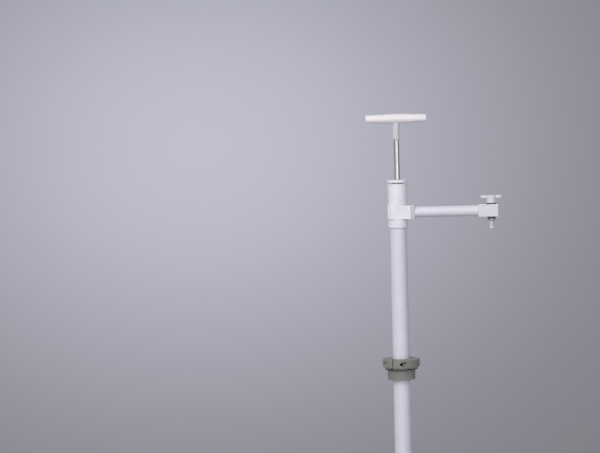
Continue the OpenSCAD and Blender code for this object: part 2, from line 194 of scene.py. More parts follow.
def turned_plastic(name, color, dirt, roughness, pitch=0.45, lines=0.5, scatter=0.12):
    """Machined plastic: fine lathe lines round Z, cloudy tone, small scratches, a trace of handling dirt."""
    g = Graph(name)
    lathe = g.noise(1 / pitch, (0.02, 0.02, 1), 2.0)
    cloud = g.noise(0.035, detail=4.0)
    speck = g.noise(0.9, detail=2.0)
    scratch = g.noise(0.25, (1, 1, 9), 5.0, 0.7)
    grime = g.spread(g.add(cloud, speck, 0.25), 0.62, 0.86)
    tone = g.mix(g.spread(cloud, 0.35, 0.65), color, tuple(c * 0.955 for c in color))
    tone = g.mix(g.add(0.0, grime, 0.2), tone, dirt)
    tone = g.mix(g.add(0.0, g.edge_wear(), 0.25), tone, tuple(min(1, c * 1.08) for c in color))
    uneven = g.add(g.add(cloud, scratch, 0.5), lathe, 0.3)
    rough = g.spread(uneven, 0.5, 1.2, roughness - 0.07, roughness + 0.12)
    height = g.add(g.add(g.add(0.0, lathe, lines), scratch, 0.25), speck, 0.12)
    return g.finish(tone, rough, height, 0.35, 0.04 * MM, Subsurface_Weight=scatter,
                    Subsurface_Radius=(3.0 * MM, 2.6 * MM, 2.2 * MM), Subsurface_Scale=1.0, IOR=1.49)


def drawn_plastic(name, color, dirt, roughness, along="Z"):
    """Extruded tube: die lines along its length, slight waviness, rub marks."""
    g = Graph(name)
    stretch = (1, 1, 0.012) if along == "Z" else (0.012, 1, 1)
    die = g.noise(1.6, stretch, 2.0)
    wave = g.noise(0.06, (1, 1, 0.25) if along == "Z" else (0.25, 1, 1), 3.0)
    cloud = g.noise(0.02, detail=4.0)
    rub = g.noise(0.2, (1, 1, 0.15) if along == "Z" else (0.15, 1, 1), 5.0, 0.7)
    tone = g.mix(g.spread(cloud, 0.35, 0.65), color, tuple(c * 0.96 for c in color))
    tone = g.mix(g.spread(rub, 0.60, 0.85, 0.0, 0.22), tone, dirt)
    rough = g.spread(g.add(cloud, rub, 0.6), 0.5, 1.1, roughness - 0.06, roughness + 0.10)
    height = g.add(g.add(g.add(0.0, die, 0.4), wave, 1.0), rub, 0.15)
    return g.finish(tone, rough, height, 0.3, 0.05 * MM, Subsurface_Weight=0.15,
                    Subsurface_Radius=(3.5 * MM, 3.0 * MM, 2.6 * MM), Subsurface_Scale=1.0, IOR=1.49)


def moulded_plastic(name, color, roughness):
    """Injection moulding: faint flow marks, fine spark-eroded grain and worn, shinier high spots."""
    g = Graph(name)
    grain = g.noise(3.5, detail=2.0)
    flow = g.noise(0.05, (0.6, 1, 1), 4.0)
    wear = g.noise(0.12, detail=5.0, rough=0.65)
    tone = g.mix(g.spread(flow, 0.35, 0.65), color, tuple(c * f for c, f in zip(color, (0.97, 0.96, 0.94))))
    tone = g.mix(g.spread(wear, 0.62, 0.85, 0.0, 0.3), tone, tuple(c * 0.8 for c in color))
    rough = g.spread(g.add(flow, wear, 0.8), 0.6, 1.2, roughness + 0.06, roughness - 0.06)
    height = g.add(g.add(0.0, grain, 0.3), flow, 0.8)
    return g.finish(tone, rough, height, 0.25, 0.03 * MM, Subsurface_Weight=0.75,
                    Subsurface_Radius=(9 * MM, 8.5 * MM, 8 * MM), Subsurface_Scale=1.0,
                    Coat_Weight=0.15, Coat_Roughness=0.2, IOR=1.5)


def rubber(name, color, roughness=0.6):
    """Matt rubber with a fine grain and a pale bloom in places."""
    g = Graph(name)
    grain = g.noise(2.2, detail=4.0)
    bloom = g.noise(0.15, detail=4.0)
    tone = g.mix(g.spread(bloom, 0.4, 0.75), color, tuple(c + 0.035 for c in color))
    rough = g.spread(bloom, 0.3, 0.7, roughness - 0.1, roughness + 0.15)
    return g.finish(tone, rough, grain, 0.3, 0.05 * MM, Specular_IOR_Level=0.35)


def steel(name, color, roughness, stretch, lines=3.0, bump=0.12):
    """Stainless steel with fine working lines, stretched as the surface was worked, and faint smears."""
    g = Graph(name)
    fine = g.noise(lines, stretch, 3.0, 0.6)
    smear = g.noise(0.08, detail=4.0)
    nick = g.noise(0.9, detail=5.0, rough=0.75)
    tone = g.mix(g.spread(smear, 0.35, 0.7), color, tuple(c * 0.88 for c in color))
    tone = g.mix(g.spread(nick, 0.7, 0.8, 0.0, 0.4), tone, tuple(c * 0.6 for c in color))
    rough = g.spread(g.add(fine, smear, 0.8), 0.5, 1.3, roughness - 0.05, roughness + 0.12)
    height = g.add(g.add(0.0, fine, 1.0), nick, 0.2)
    return g.finish(tone, rough, height, bump, 0.02 * MM, Metallic=1.0)


def make_materials():
    """Every look in the scene, by name."""
    white = (0.800, 0.785, 0.830)
    return {
        "white_plastic": turned_plastic("white_plastic", white, (0.52, 0.51, 0.47), 0.36),
        # painted shade: the stopcock's white plastic, 0.87 times as bright as the head's, for the light falling
        # off towards the right
        "white_plastic_painted_shade": turned_plastic("white_plastic_painted_shade", tuple(0.87 * c for c in white),
                                           (0.50, 0.49, 0.45), 0.38),
        "tube_plastic": drawn_plastic("tube_plastic", (0.712, 0.704, 0.766), (0.55, 0.54, 0.50), 0.34),
        "arm_plastic": drawn_plastic("arm_plastic", (0.730, 0.722, 0.770), (0.56, 0.55, 0.51), 0.34, "X"),
        "handle_plastic": moulded_plastic("handle_plastic", (0.838, 0.815, 0.812), 0.30),
        "cap_plastic": moulded_plastic("cap_plastic", (0.790, 0.775, 0.815), 0.36),
        "nozzle_plastic": moulded_plastic("nozzle_plastic", (0.800, 0.785, 0.800), 0.36),
        "grey_plastic": turned_plastic("grey_plastic", (0.243, 0.244, 0.208), (0.16, 0.16, 0.135), 0.42,
                                       lines=0.8, scatter=0.0),
        "adapter_plastic": turned_plastic("adapter_plastic", (0.330, 0.320, 0.290), (0.16, 0.155, 0.14),
                                          0.40, lines=0.6, scatter=0.0),
        "slide_plastic": turned_plastic("slide_plastic", (0.82, 0.81, 0.77), (0.5, 0.48, 0.42), 0.30),
        "seal_grey": rubber("seal_grey", (0.24, 0.24, 0.245), 0.5),
        "black_rubber": rubber("black_rubber", (0.018, 0.018, 0.019)),
        # painted light: black rubber drawn dark grey, so the washers under the stopcock come out lighter
        "black_rubber_painted_light": rubber("black_rubber_painted_light", (0.110, 0.110, 0.112)),
        "rod_steel": steel("rod_steel", (0.66, 0.65, 0.64), 0.13, (1, 1, 5), 0.5, 0.05),
        "screw_steel": steel("screw_steel", (0.58, 0.58, 0.575), 0.26, (1, 1, 1)),
        "oxide_steel": steel("oxide_steel", (0.060, 0.060, 0.064), 0.38, (1, 1, 1)),
        "ball_steel": steel("ball_steel", (0.70, 0.70, 0.71), 0.08, (1, 1, 1), 0.6, 0.05),
        "floor": floor_material(),
    }


def floor_material():
    """Matt pale floor round the pump that thins out to nothing further off, where the backdrop shows."""
    g = Graph("floor")
    cloud = g.noise(0.0015, detail=3.0)
    speck = g.noise(0.15, detail=3.0)
    pale, deeper = (0.400, 0.398, 0.435), (0.380, 0.378, 0.415)
    solid, gone = 0.9, 3.2      # metres from the pump where the floor starts to thin out, and where it ends
    at = g.node("ShaderNodeTexCoord").outputs["Object"]
    flat = g.node("ShaderNodeVectorMath", {0: at, 1: (1, 1, 0)}, operation="MULTIPLY").outputs[0]
    away = g.node("ShaderNodeVectorMath", {0: flat}, operation="LENGTH").outputs["Value"]
    g.set("Alpha", g.node("ShaderNodeMapRange", {
        "Value": away, "From Min": solid, "From Max": gone, "To Min": 1.0, "To Max": 0.0,
    }, interpolation_type="SMOOTHERSTEP").outputs[0])
    return g.finish(g.mix(cloud, pale, deeper), g.spread(speck, 0.3, 0.7, 0.75, 0.9), speck, 0.1, 0.1 * MM)


# ---------------------------------------------------------------- mesh tools

def face_outwards(bm):
    """Turns every face outwards; a moved mesh has to have its normals worked out again first."""
    bm.normal_update()
    bmesh.ops.recalc_face_normals(bm, faces=bm.faces[:])


def new_piece(name, bm, body, slot, material, *replaced):
    """Turns a bmesh into a piece that rides on body and stands for the replaced nodes."""
    face_outwards(bm)
    for edge in bm.edges:
        edge.smooth = edge.calc_face_angle(0) < SHARP
    mesh = bpy.data.meshes.new(name)
    bm.to_mesh(mesh)
    bm.free()
    piece = bpy.data.objects.new(name, mesh)
    bpy.context.scene.collection.objects.link(piece)
    dress(piece, body, slot, material, *replaced)


def dress(piece, body, slot, material, *replaced):
    """Gives a piece its look, the body it rides on and the nodes it stands for; the slot argument is not used."""
    piece.data.materials.append(MATERIALS[material])
    for face in piece.data.polygons:
        face.use_smooth = True
    even = piece.modifiers.new("even_normals", "WEIGHTED_NORMAL")
    even.keep_sharp = True
    even.weight = 80
    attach(piece, body)
    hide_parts(*replaced)
    REPLACED.update(replaced)


def rounded(points, fillet, steps=4):
    """A closed outline with each corner off the axis rounded. Points are (radius, height[, own fillet])."""
    out = []
    for i, point in enumerate(points):
        here = Vector(point[:2])
        before = Vector(points[i - 1][:2])
        after = Vector(points[(i + 1) % len(points)][:2])
        r = point[2] if len(point) > 2 else fillet
        a, b = (before - here), (after - here)
        if here.x < 1e-9 or r <= 0 or a.length < 1e-9 or b.length < 1e-9:
            out.append(here)
            continue
        half = a.angle(b) / 2
        if half > math.radians(85):
            out.append(here)
            continue
        back = min(r / math.tan(half), 0.45 * a.length, 0.45 * b.length)
        start, end = here + a.normalized() * back, here + b.normalized() * back
        for k in range(steps + 1):
            t = k / steps
            out.append((1 - t) ** 2 * start + 2 * t * (1 - t) * here + t ** 2 * end)
    return out


def revolve(outline, segments, radius_at=None):
    """A closed outline of (radius, height) turned round Z. radius_at(r, z, angle) may shape it further."""
    bm = bmesh.new()
    rows = []
    for r, z in outline:
        if r < 1e-9:
            rows.append([bm.verts.new((0, 0, z))] * segments)
            continue
        row = []
        for k in range(segments):
            angle = 2 * math.pi * k / segments
            own = radius_at(r, z, angle) if radius_at else r
            row.append(bm.verts.new((own * math.cos(angle), own * math.sin(angle), z)))
        rows.append(row)
    for i, row in enumerate(rows):
        nxt = rows[(i + 1) % len(rows)]
        if row[0] is row[1] and nxt[0] is nxt[1]:
            continue
        for k in range(segments):
            m = (k + 1) % segments
            loop = [row[k], row[m], nxt[m], nxt[k]]
            corners = [v for j, v in enumerate(loop) if v is not loop[j - 1]]
            bm.faces.new(corners)
    return bm


def lathe(points, fillet=FILLET, segments=TURNS, move=None):
    """A turned piece with its corners rounded, moved into place."""
    bm = revolve(rounded(points, fillet), segments)
    if move is not None:
        bm.transform(move)
    return bm


def tube_points(outer, inner, low, high):
    """The outline of a plain tube."""
    return [(inner, low), (outer, low), (outer, high), (inner, high)]


def cutter(bm):
    """A temporary object for one cut or join."""
    mesh = bpy.data.meshes.new("cutter")
    face_outwards(bm)
    bm.to_mesh(mesh)
    bm.free()
    made = bpy.data.objects.new("cutter", mesh)
    bpy.context.scene.collection.objects.link(made)
    return made


def evaluated(made):
    """The mesh of a temporary object with its modifiers applied, as a new bmesh; the object is deleted."""
    result = made.evaluated_get(bpy.context.evaluated_depsgraph_get())
    bm = bmesh.new()
    bm.from_mesh(result.to_mesh())
    result.to_mesh_clear()
    mesh = made.data
    bpy.data.objects.remove(made)
    bpy.data.meshes.remove(mesh)
    return bm


def combine(bm, others, operation="DIFFERENCE"):
    """The bmesh less (or joined with) each of the others in turn, as a new bmesh."""
    for other in others:
        base, tool = cutter(bm), cutter(other)
        step = base.modifiers.new("step", "BOOLEAN")
        step.operation = operation
        step.solver = "EXACT"
        step.object = tool
        bm = evaluated(base)
        bpy.data.meshes.remove(tool.data)
        bmesh.ops.remove_doubles(bm, verts=bm.verts[:], dist=1e-6)
        bmesh.ops.dissolve_degenerate(bm, dist=1e-6, edges=bm.edges[:])
    return bm


def round_bar(radius, length, move, segments=FINE):
    """A cylinder from the origin along +Z, moved into place; for bores and shafts."""
    bm = revolve([(0, 0), (radius, 0), (radius, length), (0, length)], segments)
    bm.transform(move)
    return bm


def block(lo, hi, move=None, bevel=0.0, steps=3):
    """A box with its edges rounded."""
    bm = bmesh.new()
    bmesh.ops.create_cube(bm, size=1)
    size = Vector(hi) - Vector(lo)
    mid = (Vector(hi) + Vector(lo)) / 2
    for v in bm.verts:
        v.co = Vector((v.co.x * size.x, v.co.y * size.y, v.co.z * size.z)) + mid
    if bevel:
        bmesh.ops.bevel(bm, geom=bm.edges[:] + bm.verts[:], offset=bevel, segments=steps, profile=0.5,
                        affect="EDGES", clamp_overlap=True)
    if move is not None:
        bm.transform(move)
    return bm


def prism(corners, low, high, bevel):
    """An upright prism with its edges rounded."""
    bm = bmesh.new()
    bottom = [bm.verts.new((x, y, low)) for x, y in corners]
    top = [bm.verts.new((x, y, high)) for x, y in corners]
    for k in range(len(corners)):
        bm.faces.new((bottom[k - 1], bottom[k], top[k], top[k - 1]))
    bm.faces.new(bottom)
    bm.faces.new(top)
    face_outwards(bm)
    bmesh.ops.bevel(bm, geom=bm.edges[:] + bm.verts[:], offset=bevel, segments=3, profile=0.5,
                    affect="EDGES", clamp_overlap=True)
    return bm


def along_x(x, z):
    """Turns +Z to +X, at height z and starting at x."""
    return Matrix.Translation((x, 0, z)) @ Matrix.Rotation(math.radians(90), 4, "Y")


def hexagon(across, length, move):
    """A hexagonal bar from the origin along +Z, moved into place; across is measured over its flats."""
    bm = revolve([(0, 0), (across / math.sqrt(3), 0), (across / math.sqrt(3), length), (0, length)], 6)
    bm.transform(move)
    return bm


# ---------------------------------------------------------------- drum adapter and clamp

def mount_radius(name):
    """The radius that the record states for a mount."""
    return next(m for m in frame["record"]["mounts"] if m["name"] == name)["dims"]["r_mm"] * MM


def screw_axes(offset=0.0):
    """A frame on the clamp screw's line: +Z along the screw, +X away from the tube."""
    joint = next(j for j in frame["joints"] if j["name"] == "clamp_screw_turn")
    place, along = Vector(joint["pos_m"]), Vector(joint["axis"])
    outward = Vector((place.x, place.y, 0)).normalized()
    turned = Matrix((outward, along.cross(outward), along)).transposed().to_4x4()
    return Matrix.Translation(place + along * offset) @ turned


def make_adapter():
    """Threaded spigot, spanner flange and slotted neck; the thread is a real 55 degree helix."""
    pitch, depth = 25.4 / 11 * MM, 1.48 * MM
    crest = mount_radius("barrel_thread")
    bore = radius_of("immersion_tube") + 0.06 * MM
    low = span("drum_adapter")[0].z
    seat = span("flange_gasket")[1].z
    neck_top = span("drum_adapter")[1].z
    flange_top = seat + 3 * MM
    flange_r, neck_r, land_r = 35 * MM, 24 * MM, crest - 1.4 * MM
    first, last = low + 1.5 * MM, -0.0004
    rows = int((last - first) / pitch * 14)
    outline = rounded([(bore, low + 1 * MM), (bore + 1 * MM, low), (crest - 1.5 * MM, low)], 0)
    outline += [Vector((crest, first + (last - first) * k / rows)) for k in range(rows + 1)]
    outline += rounded([
        (crest, 0), (land_r, 0), (land_r, seat), (flange_r, seat), (flange_r, flange_top),
        (neck_r, flange_top), (neck_r, neck_top), (bore, neck_top)], FILLET, 3)

    def thread(r, z, angle):
        if abs(r - crest) > 1e-7 or not first <= z <= last:
            return r
        place = (z / pitch - angle / (2 * math.pi)) % 1.0
        flank = min(1, max(0, (abs(2 * place - 1) - 0.14) / 0.72))
        fade = min(1, (z - first) / (0.4 * pitch), (last - z) / (0.4 * pitch))
        return r - depth * flank * flank * (3 - 2 * flank) * fade

    body = revolve(outline, TURNS, thread)
    cuts = []
    for k in range(6):
        turn = Matrix.Rotation(math.radians(60 * k), 4, "Z")
        cuts.append(block((flange_r - 2.5 * MM, -3 * MM, seat - 1 * MM),
                          (flange_r + 2 * MM, 3 * MM, flange_top + 1 * MM), turn))
        cuts.append(block((bore - 2 * MM, -0.75 * MM, flange_top + 2.2 * MM),
                          (neck_r + 1 * MM, 0.75 * MM, neck_top + 1 * MM), turn))
    new_piece("threaded_adapter", combine(body, cuts), "adapter", "adapter_plastic", "adapter_plastic",
              "drum_adapter")


def make_gasket():
    """Flat gasket under the flange."""
    lo, hi = span("flange_gasket")
    points = tube_points(hi.x, mount_radius("barrel_thread") + 0.2 * MM, lo.z, hi.z)
    new_piece("flat_gasket", lathe(points, 0.5 * MM), "adapter", "black_rubber", "black_rubber",
              "flange_gasket")


def make_clamp_ring():
    """The split ring: turned outside, slit from bore to rim, screw hole with a round and a hexagonal seat."""
    lo, hi = span("clamp_ring")
    outer = max(-lo.x, hi.x, -lo.y, hi.y)
    inner, lip = 24.3 * MM, radius_of("immersion_tube") + 1.5 * MM
    lip_z, bevel = hi.z - 1.6 * MM, 1.2 * MM
    body = revolve(rounded([
        (inner, lo.z, 0.5 * MM), (outer, lo.z, 0.9 * MM), (outer, hi.z - bevel, 0.3 * MM),
        (outer - bevel, hi.z, 0.3 * MM), (lip, hi.z), (lip, lip_z, 0.1 * MM), (inner, lip_z, 0.1 * MM)],
        FILLET), 2 * TURNS)
    screw = screw_axes().translation
    slit = Matrix.Rotation(math.atan2(screw.y, screw.x), 4, "Z")
    hole_r, head_r, nut_corners, seat = 3.3 * MM, 5.5 * MM, 11.7 * MM, 8.5 * MM
    cuts = [
        block((lip - 3 * MM, -1 * MM, lo.z - 1 * MM), (outer + 1 * MM, 1 * MM, hi.z + 1 * MM), slit),
        round_bar(hole_r, 70 * MM, screw_axes(-35 * MM)),
        round_bar(head_r, 20 * MM, screw_axes(seat)),
        hexagon(nut_corners * math.cos(math.radians(30)), 20 * MM, screw_axes(-seat - 20 * MM)),
    ]
    new_piece("split_clamp_ring", combine(body, cuts), "clamp", "grey_plastic", "grey_plastic", "clamp_ring")


# ---------------------------------------------------------------- tube, head and gland

def make_immersion_tube():
    """The long drawn tube."""
    lo, hi = span("immersion_tube")
    outer = radius_of("immersion_tube")
    inner = radius_of("foot_valve_seal")
    new_piece("drawn_immersion_tube", lathe(tube_points(outer, inner, lo.z, hi.z), 0.4 * MM), "pump",
              "tube_plastic", "tube_plastic", "immersion_tube")


def make_head():
    """Collar and gland housing turned from one bar, with the chamfered outlet block left on it.

    Inside, this piece isn't the same as its CAD node: it has the plate below the gland and a straight gland
    bore, where the CAD node is hollowed out as a cone (a known fault).
    """
    lo, hi = span("pump_head")
    arm_lo, arm_hi = span("outlet_arm")
    r = -lo.x
    tube_top = span("immersion_tube")[1].z
    tube_short, block_h, plate = 1.5 * MM, 28.8 * MM, 4 * MM
    low = tube_top + tube_short
    high = low + block_h
    chamfer, core, outlet_r = 8.4 * MM, 8 * MM, 8 * MM
    near, far = r - chamfer, hi.x - chamfer
    body = lathe([(core, lo.z), (r, lo.z), (r, hi.z, 0.8 * MM), (core, hi.z)], 0.5 * MM)
    outlet = prism([(-r, -near), (-near, -r), (far, -r), (hi.x, -near), (hi.x, near), (far, r), (-near, r),
                    (-r, near)], low, high, 0.35 * MM)
    body = combine(body, [outlet], "UNION")
    arm_z, arm_r = (arm_lo.z + arm_hi.z) / 2, (arm_hi.z - arm_lo.z) / 2
    bush_lo, bush_hi = span("rod_guide_bush")
    up = Matrix.Translation
    cuts = [
        round_bar(radius_of("immersion_tube"), tube_top - lo.z + 5 * MM, up((0, 0, lo.z - 5 * MM))),
        round_bar(radius_of("foot_valve_seal"), bush_lo.z - plate - tube_top + 1 * MM,
                  up((0, 0, tube_top - 1 * MM))),
        round_bar(bush_hi.x, hi.z - bush_lo.z + 5 * MM, up((0, 0, bush_lo.z))),
        round_bar(outlet_r, 60 * MM, along_x(0, arm_z)),
        round_bar(arm_r, 60 * MM, along_x(arm_lo.x, arm_z)),
    ]
    new_piece("machined_head", combine(body, cuts), "pump", "white_plastic", "white_plastic", "pump_head")


def make_gland_cap():
    """Flange on a screwed neck; the neck shows in the gap over the housing."""
    lo, hi = span("gland_cap")
    outer = hi.x
    rod = radius_of("rod_wiper")
    flange_h, rod_play = 6 * MM, 0.5 * MM
    flange_low = hi.z - flange_h
    neck = radius_of("rod_guide_bush")
    hole = span("piston_rod")[1].y + rod_play
    recess = span("rod_wiper")[0].z
    points = [
        (hole, lo.z), (neck, lo.z, 0.8 * MM), (neck, flange_low, 0), (outer, flange_low, 0.7 * MM),
        (outer, hi.z, 0.9 * MM), (rod, hi.z), (rod, recess, 0.1 * MM), (hole, recess)]
    new_piece("turned_gland_cap", lathe(points), "pump", "white_plastic", "cap_plastic", "gland_cap")


def make_wiper():
    """Wiper ring with a raised lip on the rod."""
    lo, hi = span("rod_wiper")
    rod = radius_of("piston_rod")
    hole = rod + 0.06 * MM
    points = [(hole, lo.z), (hi.x, lo.z), (hi.x, hi.z - 0.8 * MM), (rod + 1.6 * MM, hi.z - 0.6 * MM),
              (hole, hi.z, 0.1 * MM)]
    new_piece("lip_wiper", lathe(points, 0.3 * MM), "pump", "seal_grey", "seal_grey", "rod_wiper")


# ---------------------------------------------------------------- outlet arm and stopcock

def make_outlet_arm():
    """The rigid tube from head to stopcock."""
    lo, hi = span("outlet_arm")
    outer, bore = (hi.z - lo.z) / 2, 8 * MM
    points = tube_points(outer, bore, 0, hi.x - lo.x)
    bm = lathe(points, 0.4 * MM, move=along_x(lo.x, (lo.z + hi.z) / 2))
    new_piece("drawn_outlet_arm", bm, "pump", "tube_plastic", "arm_plastic", "outlet_arm")


def cock_axis():
    """The stopcock's turning line, as a point at height 0."""
    joint = next(j for j in frame["joints"] if j["name"] == "stopcock_turn")
    return Vector((joint["pos_m"][0], joint["pos_m"][1], 0))


def make_stopcock_block():
    """The stopcock's square body, bored for the arm and for the plug."""
    lo, hi = span("stopcock_block")
    arm_lo, arm_hi = span("outlet_arm")
    arm_z, arm_r = (arm_lo.z + arm_hi.z) / 2, (arm_hi.z - arm_lo.z) / 2
    at = Matrix.Translation(cock_axis())
    passage_r, plug_r, stem_r, floor = 6 * MM, 9.2 * MM, 6.06 * MM, 3 * MM
    body = block(lo, hi, bevel=0.8 * MM)
    cuts = [
        round_bar(arm_r, 20 * MM, along_x(arm_hi.x - 20 * MM, arm_z)),
        round_bar(passage_r, cock_axis().x - arm_hi.x + 2 * MM, along_x(arm_hi.x - 2 * MM, arm_z)),
        round_bar(plug_r, 40 * MM, at @ Matrix.Translation((0, 0, lo.z + floor))),
        round_bar(stem_r, 20 * MM, at @ Matrix.Translation((0, 0, lo.z - 5 * MM))),
    ]
    # the block wears the white plastic darkened with painted shade
    new_piece("milled_stopcock_block", combine(body, cuts), "pump", "white_plastic", "white_plastic_painted_shade",
              "stopcock_block")


def make_wing():
    """Two-step round hub with two flat blades on its upper step, and a sunk screw in its middle."""
    lo, hi = span("wing_handle")
    at = Matrix.Translation(cock_axis())
    half, blade_y = (hi.x - lo.x) / 2, 4.5 * MM
    upper_r = (hi.y - lo.y) / 2
    lower_r, step = upper_r - 0.5 * MM, hi.z - 6.1 * MM
    socket_r, screw_r, head_r, head_sink = 7 * MM, 2.4 * MM, 5 * MM, 4 * MM
    hub = lathe([
        (0, lo.z), (lower_r, lo.z, 0.4 * MM), (lower_r, step, 0), (upper_r, step, 0.3 * MM),
        (upper_r, hi.z, 0.7 * MM), (0, hi.z)])
    blades = block((-half, -blade_y, step), (half, blade_y, hi.z - 0.1 * MM), bevel=1.0 * MM, steps=4)
    body = combine(hub, [blades], "UNION")
    cuts = [
        round_bar(socket_r, 8 * MM, Matrix.Translation((0, 0, lo.z - 1 * MM))),
        round_bar(screw_r, 40 * MM, Matrix.Translation((0, 0, lo.z))),
        round_bar(head_r, 10 * MM, Matrix.Translation((0, 0, hi.z - head_sink))),
    ]
    body = combine(body, cuts)
    body.transform(at)
    # the wing wears the white plastic darkened with painted shade
    new_piece("two_blade_wing", body, "stopcock", "white_plastic", "white_plastic_painted_shade", "wing_handle")


def make_stopcock_rings():
    """The four rings round the stopcock's plug and nozzle."""
    at = Matrix.Translation(cock_axis())
    for name, node, inner, fillet, slot, look in (
            ("hub_washer", "plug_washer", 7 * MM, 0.9 * MM, "black_rubber", "black_rubber"),
            # the lower washer and the nozzle ring take the black rubber drawn lighter as painted light
            ("lower_washer", "stem_washer", 6 * MM, 0.9 * MM, "black_rubber", "black_rubber_painted_light"),
            ("plug_retainer", "retaining_ring", 6 * MM, 0.5 * MM, "screw_steel", "screw_steel"),
            ("nozzle_ring", "nozzle_seal", 4.0 * MM, 0.4 * MM, "black_rubber", "black_rubber_painted_light")):
        lo, hi = span(node)
        bm = lathe(tube_points((hi.x - lo.x) / 2, inner, lo.z, hi.z), fillet, FINE, at)
        new_piece(name, bm, "stopcock", slot, look, node)


def make_nozzle():
    """Straight nozzle with a groove for its ring."""
    lo, hi = span("outlet_nozzle")
    outer = mount_radius("outlet_nozzle")
    seal_lo, seal_hi = span("nozzle_seal")
    bore, neck = 3.2 * MM, outer - 0.4 * MM
    points = [
        (bore, lo.z, 0.3 * MM), (outer, lo.z, 0.5 * MM), (outer, seal_lo.z, 0.2 * MM),
        (neck, seal_lo.z, 0), (neck, seal_hi.z, 0), (outer, seal_hi.z), (outer, hi.z), (bore, hi.z)]
    bm = lathe(points, 0.2 * MM, FINE, Matrix.Translation(cock_axis()))
    new_piece("turned_nozzle", bm, "stopcock", "white_plastic", "nozzle_plastic", "outlet_nozzle")


# ---------------------------------------------------------------- rod and handle

def make_rod():
    """Polished rod, turned down where it enters the piston."""
    lo, hi = span("piston_rod")
    r = radius_of("piston_rod")
    end_r, shoulder = 4 * MM, span("piston_body")[1].z + 0.2 * MM
    points = [(0, lo.z), (end_r, lo.z, 0.4 * MM), (end_r, shoulder), (r, shoulder + 1 * MM), (r, hi.z),
              (0, hi.z)]
    new_piece("polished_rod", lathe(points), "rod", "rod_steel", "rod_steel", "piston_rod")


def make_handle():
    """One moulding: a double-tapered bar and a tapered stem, blended where they meet."""
    lo, hi = span("t_handle")
    half = 64.5 * MM
    mid_r, end_r = 10.6 * MM, 8.1 * MM
    bar_z = hi.z - mid_r
    bar_turn = math.radians(9)
    stem_r, foot_r = 7.6 * MM, 7 * MM
    lying = Matrix.Translation((0, 0, bar_z)) @ Matrix.Rotation(bar_turn, 4, "Z") @ Matrix.Rotation(
        math.radians(90), 4, "Y")
    bar = lathe([
        (0, -half), (end_r, -half, 1.0 * MM), (mid_r, 0, 9 * MM), (end_r, half, 1.0 * MM), (0, half)],
        move=lying)
    stem = lathe([(0, lo.z), (foot_r, lo.z, 0.9 * MM), (stem_r, bar_z, 0), (0, bar_z)], segments=FINE)
    whole = cutter(combine(bar, [stem], "UNION"))
    remesh = whole.modifiers.new("remesh", "REMESH")
    remesh.mode = "VOXEL"
    remesh.voxel_size = 0.75 * MM
    bm = evaluated(whole)
    blend_crease(bm, bar_z, bar_turn, mid_r, stem_r)
    hole = round_bar(radius_of("piston_rod"), bar_z - 4 * MM - lo.z + 5 * MM,
                     Matrix.Translation((0, 0, lo.z - 5 * MM)))
    new_piece("moulded_t_handle", combine(bm, [hole]), "rod", "handle_plastic", "handle_plastic", "t_handle")


def blend_crease(bm, bar_z, bar_turn, bar_r, stem_r):
    """Relaxes the points near the line where bar and stem meet, which leaves a smooth fillet there."""
    reach = 2.6 * MM
    along = Vector((math.cos(bar_turn), math.sin(bar_turn), 0))
    near = []
    for v in bm.verts:
        offset = v.co - Vector((0, 0, bar_z))
        from_bar = abs((offset - along * offset.dot(along)).length - bar_r)
        from_stem = abs(math.hypot(v.co.x, v.co.y) - stem_r)
        if v.co.z < bar_z - 2 * MM and from_bar + from_stem < reach:
            near.append((v, 1 - (from_bar + from_stem) / reach))
    for _ in range(60):
        moved = []
        for v, weight in near:
            mean = sum((e.other_vert(v).co for e in v.link_edges), Vector()) / len(v.link_edges)
            moved.append((v, v.co.lerp(mean, min(1, 1.4 * weight) * 0.7)))
        for v, place in moved:
            v.co = place


# ---------------------------------------------------------------- foot

def make_foot():
    """Foot valve body: plug in the tube's end, ball seat and the recess that takes the strainer."""
    lo, hi = span("foot_valve_body")
    outer, inner = radius_of("foot_valve_body"), radius_of("foot_valve_seal")
    shoulder = span("immersion_tube")[0].z
    chamber, seat_r, recess_r, pin_r = 11 * MM, 6 * MM, 15 * MM, 1.5 * MM
    seat, web = lo.z + 6 * MM, lo.z + 4 * MM
    seal_lo, seal_hi = span("foot_valve_seal")
    groove = inner - 1.8 * MM
    body = lathe([
        (recess_r, lo.z), (outer, lo.z, 0.6 * MM), (outer, shoulder, 0.5 * MM), (inner, shoulder, 0),
        (inner, seal_lo.z, 0), (groove, seal_lo.z, 0), (groove, seal_hi.z, 0), (inner, seal_hi.z, 0),
        (inner, hi.z, 0.6 * MM), (chamber, hi.z), (chamber, seat), (seat_r, seat), (seat_r, web),
        (recess_r, web)], 0.3 * MM)
    pin_lo, pin_hi = span("foot_ball_stop")
    pin_z = (pin_lo.z + pin_hi.z) / 2
    across = Matrix.Translation((0, -25 * MM, pin_z)) @ Matrix.Rotation(math.radians(-90), 4, "X")
    body = combine(body, [round_bar(pin_r, 50 * MM, across, 32)])
    new_piece("turned_foot", body, "pump", "white_plastic", "white_plastic", "foot_valve_body")


